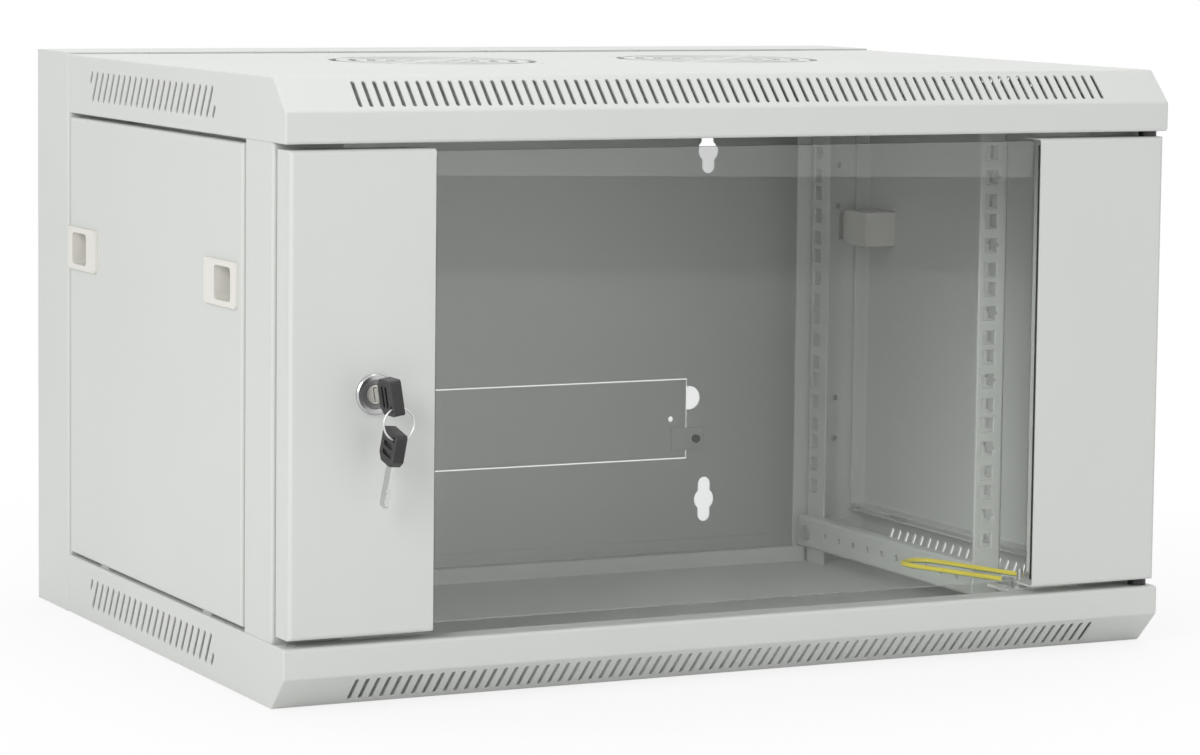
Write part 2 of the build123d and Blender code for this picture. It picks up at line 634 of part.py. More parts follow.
def make_thumb_screws():
    """Captive screws at the rear left, and the clinch nuts of the wall section that they enter."""
    web = MAIN_BACK - SHEET
    knob, length = THUMB_KNOB
    screws = []
    for z in THUMB_Z:
        grip = rod_y(-THUMB_X, (web - length, web), z, knob / 2)
        recess, depth = THUMB_RECESS
        groove = rod_y(-THUMB_X, (web - length - 1, web - length + depth), z, recess)
        shank = rod_y(-THUMB_X, (web, web + THUMB_REACH), z, THUMB_SCREW / 2)
        screws.append(grip - groove + shank)
    save("section_thumb_screws", *screws)
    size, height = CLINCH_NUT
    nuts = []
    for z in THUMB_Z:
        face = front_plane(-THUMB_X, WALL_FRONT + SHEET, z) * (RegularPolygon(size / 2 + 1, 6)
                                                              - Circle(THUMB_HOLE / 2))
        nuts.append(extrude(face, amount=-height))
    save("clinch_nuts", *nuts)


def make_wall_pan():
    """Back wall, side walls and front lips, bent from one sheet."""
    lip_end = SIDE - WALL_LIP
    points = [(lip_end, WALL_FRONT), (SIDE, WALL_FRONT), (SIDE, BACK), (-SIDE, BACK), (-SIDE, WALL_FRONT),
              (-lip_end, WALL_FRONT)]
    corner = WALL_ROUND - SHEET
    pan = upright(points, SHEET, 0, HEIGHT, [BEND, corner, corner, BEND])
    cutters = []
    for x in (-KEYHOLE_X, KEYHOLE_X):
        for z in KEYHOLE_Z:
            slot = Rot(0, 0, 90) * SlotOverall(KEYHOLE_HEIGHT, KEYHOLE_SLOT) + Circle(KEYHOLE / 2)
            cutters.append(extrude(front_plane(x, BACK, z) * slot, amount=CUT, both=True))
    wall = (BACK - CUT, BACK + CUT)
    cutters.append(block((-CUTOUT_HALF, CUTOUT_HALF), wall, CUTOUT_Z))
    for side in (-1, 1):
        cutters.append(rod_y(side * (CUTOUT_HALF + CUTOUT_NOTCH_OUT), wall, CUTOUT_NOTCH_Z, CUTOUT_NOTCH))
        cutters.append(rod_y(side * plate_screw_x(), wall, sum(TAB_Z) / 2, PLATE_SCREW / 2 + SLACK / 2))
    for low in ARM_LOWS:
        height = (low - 3 * SLACK, low + ARM + 3 * SLACK)
        notch = (WALL_FRONT - 1, WALL_FRONT + HINGE_NOTCH_END)
        cutters.append(block((INNER_SIDE - CUT, SIDE + CUT), notch, height))
        cutters.append(block((ARM_INNER_X - 1, SIDE + CUT), (WALL_FRONT - 1, WALL_FRONT + SHEET + 1), height))
        cutters += [rod_y(x, (WALL_FRONT - 1, WALL_FRONT + CUT), z, FRAME_HOLE / 2)
                    for x, z in hinge_screw_places(low)]
    cutters += [rod_y(-THUMB_X, (WALL_FRONT - CUT, WALL_FRONT + CUT), z, THUMB_HOLE / 2) for z in THUMB_Z]
    save("wall_pan", pan - cutters)


def plate_screw_x():
    return CUTOUT_HALF + TAB_REACH / 2


def make_wall_plates():
    """Top and bottom plates of the wall section, with a cable entry that two covers close."""
    plate = block((-INNER_SIDE, INNER_SIDE), (WALL_FRONT + SHEET, BACK - SHEET), (0, SHEET))
    corners = plate.edges().filter_by(Axis.Z).group_by(Axis.Y)[-1]
    plate = fillet(corners, WALL_ROUND)
    plate = chamfer(plate.edges().filter_by(Axis.Z).group_by(Axis.Y)[0], BEND)
    tongue = SIDE - WALL_LIP - SLACK
    plate += block((-tongue, tongue), (WALL_FRONT, WALL_FRONT + SHEET), (0, SHEET))
    flange = INNER_SIDE - 2 * WALL_ROUND
    plate += block((-flange, flange), (BACK - 2 * SHEET, BACK - SHEET), (0, SHEET + PLATE_FLANGE))
    entry_back = WALL_FRONT + ENTRY_DEPTH
    plate -= block((-ENTRY_HALF, ENTRY_HALF), (WALL_FRONT - CUT, entry_back), (-CUT, CUT))
    save("wall_bottom_plate", plate)
    save("wall_top_plate", mirrored_z(plate, HEIGHT / 2))
    cover = block((SLIT / 2, ENTRY_HALF - SLIT / 2), (WALL_FRONT, entry_back - SLIT), (0, SHEET))
    for share in KNOCKOUT_PLACES:
        x = share * ENTRY_HALF
        cover += block((x - KNOCKOUT_TAB / 2, x + KNOCKOUT_TAB / 2),
                       (entry_back - 2 * SLIT, entry_back), (0, SHEET))
    tab_y = WALL_FRONT + ENTRY_DEPTH / 2
    cover += block((ENTRY_HALF - 2 * SLIT, ENTRY_HALF), (tab_y, tab_y + KNOCKOUT_TAB), (0, SHEET))
    pair = [cover, mirrored_x(cover)]
    save("cable_entry_covers_bottom", *pair)
    save("cable_entry_covers_top", *[mirrored_z(s, HEIGHT / 2) for s in pair])


def make_rear_cable_plate():
    """Plate that closes the cut-out in the back wall, screwed on by a tab at each end."""
    low, high = CUTOUT_Z
    inside = (BACK - 2 * SHEET, BACK - SHEET)
    plate = block((-CUTOUT_HALF + SLIT, CUTOUT_HALF - SLIT), (BACK - SHEET, BACK), (low + SLIT, high - SLIT))
    tab = block((CUTOUT_HALF - TAB_REACH, CUTOUT_HALF + TAB_REACH), inside, TAB_Z)
    plate = plate + tab + mirrored_x(tab)
    screw_z = sum(TAB_Z) / 2
    screws = []
    for side in (-1, 1):
        reach = (BACK - CUT, BACK + CUT)
        plate -= rod_y(side * plate_screw_x(), reach, screw_z, PLATE_SCREW / 2 + SLACK / 2)
        plate -= rod_y(side * PLATE_HOLE_X, reach, PLATE_HOLE_Z, PLATE_HOLE / 2)
        place = (side * plate_screw_x(), screw_z)
        head = rod_y(place[0], (inside[0] - PLATE_HEAD, inside[0]), place[1], PLATE_SCREW)
        screws.append(head + rod_y(place[0], (inside[0], BACK), place[1], PLATE_SCREW / 2))
    save("rear_cable_plate", plate)
    save("rear_plate_screws", *screws)


def latch(edge, outward):
    """Right-hand latch at its drawn-back position; edge is the outer end of its bezel along Y."""
    def at(start, end):
        return tuple(sorted((edge - outward * start, edge - outward * end)))

    length, height = LATCH_BEZEL
    middle = edge - outward * length / 2
    bezel_face = side_plane(SIDE, middle, LATCH_Z) * RectangleRounded(length, height, LATCH_ROUND)
    bezel = extrude(bezel_face, amount=LATCH_PROUD)
    box_start = POCKET_MARGIN - LATCH_WALL
    box_end = box_start + LATCH_BOX[0]
    half = LATCH_BOX[1] / 2
    body = bezel + block((SIDE - LATCH_DEPTH, SIDE + LATCH_PROUD / 2), at(box_start, box_end),
                         (LATCH_Z - half, LATCH_Z + half))
    bolt_x = SIDE - LATCH_DEPTH + LATCH_WALL + SLACK
    guide = BOLT_WIDTH / 2 + 2 * SLACK
    body -= block((bolt_x - SLACK, bolt_x + BOLT_THICK + SLACK), at(box_start - CUT, box_end - LATCH_WALL),
                  (LATCH_Z - guide, LATCH_Z + guide))
    pocket_middle = edge - outward * (POCKET_MARGIN + POCKET[0] / 2)
    pocket = side_plane(bolt_x, pocket_middle, LATCH_Z) * RectangleRounded(*POCKET, LATCH_ROUND)
    body -= extrude(pocket, amount=LATCH_DEPTH + CUT)
    tip = (PANEL_BACK if outward > 0 else FRONT + PANEL_FRONT) - outward * BOLT_INSET
    tip_at = (edge - tip) * outward
    tall = BOLT_WIDTH / 2
    bolt = block((bolt_x, bolt_x + BOLT_THICK), at(tip_at, box_end - LATCH_WALL - BOLT_TRAVEL - SLACK),
                 (LATCH_Z - tall, LATCH_Z + tall))
    ridge_middle = POCKET_MARGIN + POCKET[0] / 2
    bolt += block((bolt_x, bolt_x + BOLT_THICK + RIDGE[1]), at(ridge_middle, ridge_middle + RIDGE[0]),
                  (LATCH_Z - tall, LATCH_Z + tall))
    hole = block((SIDE - 2 * PANEL_SHEET, SIDE + 1), at(box_start - SLACK, box_end + SLACK),
                 (LATCH_Z - half - SLACK, LATCH_Z + half + SLACK))
    return body, bolt, hole


def make_side_panels():
    hem = SIDE - PANEL_HEM
    y = (FRONT + PANEL_FRONT, PANEL_BACK)
    z = (PANEL_LOW, PANEL_TOP)
    outer = block((hem, SIDE), y, z)
    outer = fillet(outer.faces().sort_by(Axis.X)[-1].edges(), PANEL_ROUND)
    inner = block((hem - 1, SIDE - PANEL_SHEET), *[(a + PANEL_SHEET, b - PANEL_SHEET) for a, b in (y, z)])
    inner = fillet(inner.faces().sort_by(Axis.X)[-1].edges(), PANEL_ROUND - PANEL_SHEET)
    panel = outer - inner
    ends = {"front": (FRONT + LATCH_FRONT_EDGE, -1), "rear": (MAIN_BACK - LATCH_BACK_GAP, 1)}
    for end, (edge, outward) in ends.items():
        housing, bolt, hole = latch(edge, outward)
        panel -= hole
        save(f"latch_housing_{end}_right", housing)
        save(f"latch_housing_{end}_left", mirrored_x(housing))
        save(f"latch_bolt_{end}_right", bolt)
        save(f"latch_bolt_{end}_left", mirrored_x(bolt))
    save("side_panel_right", panel)
    save("side_panel_left", mirrored_x(panel))
    width, length = BUFFER
    pads = []
    for share in BUFFER_PLACES:
        start = y[0] + share * (y[1] - y[0]) - length / 2
        pads.append(block((hem + 1, hem + 1 + width), (start, start + length), (FLANGE, PANEL_LOW - SLACK)))
    save("panel_buffers", *pads, *[mirrored_x(p) for p in pads])


def door_strip():
    """Right steel strip of the door: a tray that is open at the rear and towards the glass."""
    inner_x = DOOR_SIDE - STRIP_WIDTH
    outer = block((inner_x, DOOR_SIDE), (FRONT, FRONT + DOOR_DEPTH), (DOOR_LOW, DOOR_TOP))
    rims = [e for e in outer.faces().sort_by(Axis.Y)[0].edges() if e.center().X > inner_x + 1]
    outer = fillet(rims, STRIP_BEND)
    inner = block((inner_x - CUT, DOOR_SIDE - SHEET), (FRONT + SHEET, FRONT + DOOR_DEPTH + CUT),
                  (DOOR_LOW + SHEET, DOOR_TOP - SHEET))
    rims = [e for e in inner.faces().sort_by(Axis.Y)[0].edges() if e.center().X > inner_x + 1]
    strip = outer - fillet(rims, STRIP_BEND - SHEET)
    rear = FRONT + DOOR_DEPTH
    return strip + block((DOOR_SIDE - STRIP_RETURN, DOOR_SIDE - SHEET), (rear - SHEET, rear),
                         (DOOR_LOW + SHEET + BUSH_LENGTH, DOOR_TOP - SHEET - BUSH_LENGTH))


def hinge_end(gap_start, door_face, up):
    """Hinge pin and bush at one end of the door, from the cover's return to the face of the strip."""
    y = FRONT + DOOR_AXIS_Y

    def rod(start, end, radius):
        return rod_z(DOOR_AXIS_X, y, tuple(sorted((start, end))), radius)

    inside = gap_start - up * SHEET
    pin = rod(inside, door_face + up * (BUSH_LENGTH - 1), DOOR_PIN / 2)
    pin += rod(inside - up * HEAD_HEIGHT, inside, DOOR_PIN / 2 + 2)
    bush = rod(gap_start + up * SLACK, door_face, BUSH / 2)
    bush += rod(door_face, door_face + up * BUSH_LENGTH, BUSH_NECK / 2)
    bush -= rod(gap_start - up, door_face + up * (BUSH_LENGTH + 1), DOOR_PIN / 2 + SLACK)
    return pin, bush


def make_door():
    strip = door_strip()
    reach = (DOOR_LOW - CUT, DOOR_TOP + CUT)
    bush_hole = rod_z(DOOR_AXIS_X, FRONT + DOOR_AXIS_Y, reach, BUSH_NECK / 2 + SLACK / 2)
    save("door_hinge_strip", strip - bush_hole)
    lock_hole = rod_y(LOCK_X, (FRONT - CUT, FRONT + CUT), LOCK_Z, LOCK_BODY / 2 + SLACK / 2)
    save("door_lock_strip", mirrored_x(strip) - lock_hole)
    inner_x = DOOR_SIDE - STRIP_WIDTH
    z = (DOOR_LOW + GLASS_INSET_BOTTOM, DOOR_TOP - GLASS_INSET_TOP)
    tape_front = FRONT + SHEET
    tape_z = (z[0], z[1] - STRIP_BEND)
    tape = block((inner_x - TAPE_OUT, inner_x + GLASS_LAP - 1), (tape_front, tape_front + TAPE), tape_z)
    save("glass_tapes", tape, mirrored_x(tape))
    half = inner_x + GLASS_LAP
    save("door_glass", block((-half, half), (tape_front + TAPE, tape_front + TAPE + GLASS), z))
    low_pin, low_bush = hinge_end(FLANGE, DOOR_LOW, 1)
    top_pin, top_bush = hinge_end(MAIN_TOP - FLANGE, DOOR_TOP, -1)
    save("door_hinge_pins", low_pin, top_pin)
    save("door_hinge_bushes", low_bush, top_bush)


def make_lock():
    """Cam lock in the door: body and nut, a dark ring, and the plug with its cam and screw."""
    bore = PLUG / 2 + SLACK
    body = rod_y(LOCK_X, (FRONT - BEZEL_THICK, FRONT), LOCK_Z, BEZEL / 2)
    rim = body.faces().sort_by(Axis.Y)[0].edges()
    body = chamfer(rim, BEZEL_THICK / 3)
    body += rod_y(LOCK_X, (FRONT, FRONT + LOCK_LENGTH), LOCK_Z, LOCK_BODY / 2)
    body -= rod_y(LOCK_X, (FRONT - BEZEL_THICK - 1, FRONT - BEZEL_THICK / 2), LOCK_Z, LOCK_RING / 2)
    body -= rod_y(LOCK_X, (FRONT - CUT, FRONT + LOCK_LENGTH + 1), LOCK_Z, bore)
    save("lock_body", body)
    seat = FRONT - BEZEL_THICK / 2
    ring_y = (seat - LOCK_RING_THICK, seat)
    ring = rod_y(LOCK_X, ring_y, LOCK_Z, LOCK_RING / 2 - SLACK / 2)
    save("lock_ring", ring - rod_y(LOCK_X, ring_y, LOCK_Z, bore))
    nut = RegularPolygon(LOCK_NUT[0], 6) - Circle(LOCK_BODY / 2 + SLACK / 2)
    save("lock_nut", extrude(front_plane(LOCK_X, FRONT + SHEET, LOCK_Z) * nut, amount=-LOCK_NUT[1]))
    plug = rod_y(LOCK_X, (FRONT - PLUG_OUT, FRONT + PLUG_LENGTH), LOCK_Z, PLUG / 2)
    slot_w, slot_h = KEYWAY
    keyway = block((-slot_w / 2, slot_w / 2), (FRONT - CUT, FRONT + KEY_DEPTH), (-slot_h / 2, slot_h / 2))
    plug -= Pos(LOCK_X, 0, LOCK_Z) * Rot(0, KEY_TURN, 0) * keyway
    cam_front = FRONT + PLUG_LENGTH
    plug -= rod_y(LOCK_X, (cam_front - CUT, cam_front + 1), LOCK_Z, CAM_SCREW / 2 + SLACK / 2)
    save("lock_plug", plug)
    reach = CAM_LENGTH + CAM_WIDTH / 2
    face = Rot(0, 0, 90) * SlotOverall(reach, CAM_WIDTH)
    face = Pos(0, CAM_WIDTH / 2 - reach / 2) * face - Circle(CAM_SCREW / 2 + SLACK / 2)
    save("lock_cam", extrude(front_plane(LOCK_X, cam_front, LOCK_Z) * face, amount=-CAM_THICK))
    shank = CAM_THICK + CUT - 1
    save("cam_screw", screw_along("y", (LOCK_X, LOCK_Z), cam_front + CAM_THICK, CAM_SCREW / 2, -shank))


def key():
    """Blade and head of a key, with the blade along +Y from the origin and the head behind it."""
    low = KEY_OFFSET - KEY_HEAD_WIDTH / 2
    high = KEY_OFFSET + KEY_HEAD_WIDTH / 2
    length = KEY_HEAD_LENGTH
    face = outline([(0, low + KEY_CORNER), (0, high - KEY_CORNER), (-KEY_CORNER, high), (-length, high),
                    (-length, low), (-KEY_CORNER, low)], [1, 1, 1, 2, 2, 1])
    half = KEY_HEAD_THICK / 2
    head = extrude(side_plane(0) * face, amount=half, both=True)
    hole_y = KEY_HOLE_ALONG - length
    hole_z = low + KEY_HOLE_ACROSS
    head -= rod_x((-half - 1, half + 1), hole_y, hole_z, KEY_HOLE / 2)
    groove_height = KEY_HEAD_WIDTH - 2 * KEY_CORNER
    for side in (-1, 1):
        for share in KEY_GROOVE_PLACES:
            place = side_plane(side * half, -share * length, KEY_OFFSET) * Rot(0, 0, 90)
            head -= extrude(place * SlotOverall(groove_height, KEY_GROOVE), amount=KEY_RECESS, both=True)
    thick, height = KEY_BLADE
    blade = block((-thick / 2, thick / 2), (0, KEY_BLADE_LENGTH), (-height / 2, height / 2))
    tip = blade.edges().filter_by(Axis.X).group_by(Axis.Y)[-1]
    blade = chamfer(tip, height / 5)
    start = KEY_BLADE_LENGTH - len(KEY_TEETH) * KEY_TOOTH - height / 3
    for k, depth in enumerate(KEY_TEETH):
        y = start + k * KEY_TOOTH
        blade -= block((-thick, thick), (y, y + 0.75 * KEY_TOOTH), (-height / 2 - 1, -height / 2 + depth))
    return blade, head, hole_y, hole_z


def make_keys():
    """Key in the plug, the ring that hangs from its head, and the spare key that hangs from the ring."""
    blade, head, hole_y, hole_z = key()
    place = Pos(LOCK_X, FRONT - KEY_HEAD_FRONT, LOCK_Z) * Rot(0, KEY_TURN, 0)
    save("key_blade", place * blade)
    save("key_head", place * head)
    sag = SLACK
    middle = (place * Pos(0, hole_y, hole_z + sag - RING_RADIUS)).position
    save("key_ring", front_plane(*middle) * Torus(RING_RADIUS, RING_WIRE / 2))
    hang = Rot(0, SPARE_TURN, 0) * Rot(-90 + SPARE_LEAN, 0, 0)
    spare = Pos(middle.X, middle.Y, middle.Z - RING_RADIUS + sag) * hang * Pos(0, -hole_y, -hole_z)
    save("spare_key_blade", spare * blade)
    save("spare_key_head", spare * head)


def lead_point(along, across, z):
    """Point beside the earth studs, from its place along and across the loop."""
    turn = math.radians(LEAD_ANGLE)
    x = LEAD_START[0] + along * math.cos(turn) + across * math.sin(turn)
    y = FRONT + LEAD_START[1] + along * math.sin(turn) - across * math.cos(turn)
    return x, y, z


def make_earth():
    """Tab on the lower right channel with two studs, and the lead with its two terminals."""
    low = CHANNEL_LOW + CHANNEL_HEIGHT
    top = low + TAB_PLATE
    tab = block((EARTH_TAB_X, POST_INNER_X), [FRONT + v for v in EARTH_TAB_Y], (low, top))
    tab -= rod_z(EARTH_SCREW_X, EARTH_SCREW_Y, (low - 1, top + 1), STUD / 2 + SLACK / 2)
    save("earth_bracket", tab)
    studs, terminals = [], []
    radius, tongue, barrel_end = BARREL
    centre = top + LEAD_RISE
    for across in (STUD_ACROSS, -STUD_ACROSS):
        x, y, _ = lead_point(0, across, top)
        stud = rod_z(x, y, (top, top + STUD_LENGTH), STUD / 2)
        nut = Pos(x, y, top + TERMINAL) * RegularPolygon(STUD / 2 + HEAD_OVER, 6)
        studs.append(stud + extrude(nut, amount=NUT_HEIGHT))
        eye = rod_z(x, y, (top, top + TERMINAL), STUD + TERMINAL)
        eye -= rod_z(x, y, (0, HEIGHT), STUD / 2 + SLACK / 2)
        line = Pos(*lead_point(0, across, 0)) * Rot(0, 0, LEAD_ANGLE)
        neck_start = STUD / 2 + HEAD_OVER + SLACK
        neck = line * block((neck_start, barrel_end), (-radius / 2, radius / 2), (top, centre))
        axis = Plane(origin=lead_point(tongue, across, centre), z_dir=Vector(*lead_point(1, 0, 0))
                     - Vector(*lead_point(0, 0, 0)))
        terminals.append(eye + neck + extrude(axis * Circle(radius), amount=barrel_end - tongue))
    screw = screw_along("z", (EARTH_SCREW_X, EARTH_SCREW_Y), top, STUD / 2, -TAB_PLATE - CHANNEL_SHEET - 2)
    save("earth_studs", *studs, screw)
    save("earth_terminals", *terminals)
    points = [Vector(*lead_point(along, across, centre)) for along, across in LEAD_ROUTE]
    radii = []
    for before, here, after in zip(points, points[1:], points[2:]):
        turn = math.radians((here - before).get_angle(after - here))
        radii.append(LEAD_ROUND * min((here - before).length, (after - here).length) / math.tan(turn / 2))
    path = FilletPolyline(*points, radius=radii)
    lead = sweep(Plane(origin=path @ 0, z_dir=path % 0) * Circle(LEAD / 2), path=path)
    print("lead radii", [round(r, 1) for r in radii], "length", round(path.length, 1))
    print("lead volume over section times length", lead.volume / (path.length * math.pi * LEAD ** 2 / 4))
    save("earth_lead", lead)


os.makedirs("parts", exist_ok=True)
make_covers()
make_posts()
make_channels()
make_rails()
make_frame_screws()
make_section_hinge()
make_thumb_screws()
make_wall_pan()
make_wall_plates()
make_rear_cable_plate()
make_side_panels()
make_door()
make_lock()
make_keys()
make_earth()
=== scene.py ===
import math
import bpy
from mathutils import Matrix, Vector


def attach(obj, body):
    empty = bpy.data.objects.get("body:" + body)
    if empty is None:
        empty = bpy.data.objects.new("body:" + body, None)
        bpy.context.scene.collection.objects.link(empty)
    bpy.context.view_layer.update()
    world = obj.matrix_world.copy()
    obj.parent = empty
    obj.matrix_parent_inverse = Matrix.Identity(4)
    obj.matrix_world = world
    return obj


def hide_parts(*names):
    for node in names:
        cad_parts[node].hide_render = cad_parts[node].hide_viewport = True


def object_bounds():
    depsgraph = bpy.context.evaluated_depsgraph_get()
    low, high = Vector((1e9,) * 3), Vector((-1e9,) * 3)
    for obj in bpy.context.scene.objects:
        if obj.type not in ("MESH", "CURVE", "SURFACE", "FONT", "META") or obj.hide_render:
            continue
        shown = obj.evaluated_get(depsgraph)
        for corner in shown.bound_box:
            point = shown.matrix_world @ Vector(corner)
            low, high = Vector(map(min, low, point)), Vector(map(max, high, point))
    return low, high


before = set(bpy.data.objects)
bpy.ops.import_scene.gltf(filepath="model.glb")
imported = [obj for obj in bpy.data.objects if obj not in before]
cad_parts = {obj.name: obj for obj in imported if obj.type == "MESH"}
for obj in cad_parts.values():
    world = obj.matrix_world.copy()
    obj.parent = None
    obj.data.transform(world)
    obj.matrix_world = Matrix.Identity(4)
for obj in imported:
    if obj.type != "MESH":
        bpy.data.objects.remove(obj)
cad_box = [list(corner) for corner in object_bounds()]


# Camera. It stands left of the cabinet and a little above its top, so that the left side panel,
# the door and a thin slice of the top show. The lens is long, as in a studio picture.
camera_place = (-1.160, -2.378, 0.461)
lens_mm = 122.1
sensor_mm = 36
frame_shift = -0.0646
yaw = math.radians(26.22)
pitch = math.radians(-5.4)
roll = math.radians(0.66)
level_right = Vector((math.cos(yaw), -math.sin(yaw), 0))
look = Vector((math.sin(yaw) * math.cos(pitch), math.cos(yaw) * math.cos(pitch), math.sin(pitch)))
level_up = level_right.cross(look)
right = math.cos(roll) * level_right + math.sin(roll) * level_up
up = math.cos(roll) * level_up - math.sin(roll) * level_right
turn = Matrix((right, up, -look)).transposed().to_4x4()
camera = bpy.data.objects.new("camera", bpy.data.cameras.new("camera"))
camera.data.sensor_width = sensor_mm
camera.data.lens = lens_mm
camera.data.shift_y = frame_shift
camera.matrix_world = Matrix.Translation(camera_place) @ turn
bpy.context.scene.collection.objects.link(camera)
bpy.context.scene.camera = camera


# Earth lead. A stranded copper wire in yellow insulation with a green stripe, bent by hand into
# a loop between the two terminals on the earth bracket, low in the right of the main section.
lead_across = 0.0034
lead_route = (
    (0.0130, 0.0115), (0.0420, 0.0115), (0.0760, 0.0128), (0.0950, 0.0124), (0.1024, 0.0052),
    (0.1021, -0.0054), (0.0946, -0.0126), (0.0750, -0.0129), (0.0410, -0.0115), (0.0130, -0.0115),
)
lead_corner = Vector((0.228, -0.187, 0.0406))
lead_turn = math.radians(110)
along = Vector((math.cos(lead_turn), math.sin(lead_turn), 0))
across = Vector((math.sin(lead_turn), -math.cos(lead_turn), 0))
lead_points = [lead_corner + along * a + across * b for a, b in lead_route]
lead_curve = bpy.data.curves.new("earth_wire", "CURVE")
lead_curve.dimensions = "3D"
lead_curve.bevel_depth = lead_across / 2
lead_curve.bevel_resolution = 6
lead_curve.resolution_u = 16
lead_run = lead_curve.splines.new("NURBS")
lead_run.points.add(len(lead_points) - 1)
for place, point in zip(lead_run.points, lead_points):
    place.co = (*point, 1)
lead_run.order_u = 3
lead_run.use_endpoint_u = True
earth_wire = bpy.data.objects.new("earth_wire", lead_curve)
bpy.context.scene.collection.objects.link(earth_wire)

sleeve_yellow = (0.74, 0.63, 0.015, 1)
stripe_green = (0.015, 0.16, 0.03, 1)
stripe_side = 0.3
stripe_half = 0.14
stripe_blur = 0.02
insulation = bpy.data.materials.new("striped_insulation")
insulation.use_nodes = True
nodes, links = insulation.node_tree.nodes, insulation.node_tree.links
sleeve = nodes["Principled BSDF"]
along_wire = nodes.new("ShaderNodeTexCoord")
parts_of_uv = nodes.new("ShaderNodeSeparateXYZ")
links.new(along_wire.outputs["UV"], parts_of_uv.inputs[0])
turned = nodes.new("ShaderNodeMath")
turned.inputs[1].default_value = stripe_side
stripe = nodes.new("ShaderNodeMath")
stripe.operation = "PINGPONG"
stripe.inputs[1].default_value = 0.5
links.new(parts_of_uv.outputs["Y"], turned.inputs[0])
links.new(turned.outputs[0], stripe.inputs[0])
stripe_edge = nodes.new("ShaderNodeValToRGB")
green_end, yellow_end = stripe_edge.color_ramp.elements
green_end.position = stripe_half
green_end.color = stripe_green
yellow_end.position = stripe_half + stripe_blur
yellow_end.color = sleeve_yellow
links.new(stripe.outputs[0], stripe_edge.inputs[0])
links.new(stripe_edge.outputs[0], sleeve.inputs["Base Color"])
ripple = nodes.new("ShaderNodeTexNoise")
ripple.inputs["Scale"].default_value = 900
links.new(along_wire.outputs["Object"], ripple.inputs["Vector"])
ripple_bump = nodes.new("ShaderNodeBump")
ripple_bump.inputs["Strength"].default_value = 0.15
ripple_bump.inputs["Distance"].default_value = 0.0002
links.new(ripple.outputs[0], ripple_bump.inputs["Height"])
links.new(ripple_bump.outputs[0], sleeve.inputs["Normal"])
sleeve.inputs["Roughness"].default_value = 0.38
lead_curve.materials.append(insulation)
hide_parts("earth_lead")
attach(earth_wire, "main_section")


# Cabinet sheets. Bent steel with a light grey powder coat. The coat has a fine orange peel,
# and a painted highlight makes it a little lighter over each bend and edge.
def paint(material, *names):
    for name in names:
        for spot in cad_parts[name].material_slots:
            spot.material = material


def new_group(name, inputs, outputs):
    group = bpy.data.node_groups.new(name, "ShaderNodeTree")
    for label, kind, value in inputs:
        socket = group.interface.new_socket(label, in_out="INPUT", socket_type=kind)
        socket.default_value = value
    for label, kind in outputs:
        group.interface.new_socket(label, in_out="OUTPUT", socket_type=kind)
    return group, group.nodes.new("NodeGroupInput"), group.nodes.new("NodeGroupOutput")


grain, grain_in, grain_out = new_group(
    "fine_grain",
    (("Grain Scale", "NodeSocketFloat", 1200.0), ("Patch Scale", "NodeSocketFloat", 9.0)),
    (("Height", "NodeSocketFloat"), ("Patches", "NodeSocketFloat")),
)
spot_on_piece = grain.nodes.new("ShaderNodeTexCoord")
peel = grain.nodes.new("ShaderNodeTexNoise")
peel.inputs["Detail"].default_value = 3
patches = grain.nodes.new("ShaderNodeTexNoise")
patches.inputs["Detail"].default_value = 2
grain.links.new(spot_on_piece.outputs["Object"], peel.inputs["Vector"])
grain.links.new(spot_on_piece.outputs["Object"], patches.inputs["Vector"])
grain.links.new(grain_in.outputs["Grain Scale"], peel.inputs["Scale"])
grain.links.new(grain_in.outputs["Patch Scale"], patches.inputs["Scale"])
grain.links.new(peel.outputs[0], grain_out.inputs["Height"])
grain.links.new(patches.outputs[0], grain_out.inputs["Patches"])

# Edge mask from the Bevel node. It finds bends and edges, which the coats paint lighter as a painted
# highlight; the rounded normal softens the edges for the lamps.
edge_highlight_group, edge_highlight_in, edge_highlight_out = new_group(
    "painted_edge_highlight",
    (("Radius", "NodeSocketFloat", 0.0008),),
    (("Edge", "NodeSocketFloat"), ("Rounded", "NodeSocketVector")),
)
rounded = edge_highlight_group.nodes.new("ShaderNodeBevel")
rounded.samples = 4
plain = edge_highlight_group.nodes.new("ShaderNodeNewGeometry")
likeness = edge_highlight_group.nodes.new("ShaderNodeVectorMath")
likeness.operation = "DOT_PRODUCT"
likeness_on_flat = 0.995
likeness_on_edge = 0.8
edge_only = edge_highlight_group.nodes.new("ShaderNodeMapRange")
edge_only.inputs["From Min"].default_value = likeness_on_flat
edge_only.inputs["From Max"].default_value = likeness_on_edge
edge_highlight_group.links.new(edge_highlight_in.outputs["Radius"], rounded.inputs["Radius"])
edge_highlight_group.links.new(rounded.outputs[0], likeness.inputs[0])
edge_highlight_group.links.new(plain.outputs["Normal"], likeness.inputs[1])
edge_highlight_group.links.new(likeness.outputs["Value"], edge_only.inputs["Value"])
edge_highlight_group.links.new(edge_only.outputs[0], edge_highlight_out.inputs["Edge"])
edge_highlight_group.links.new(rounded.outputs[0], edge_highlight_out.inputs["Rounded"])


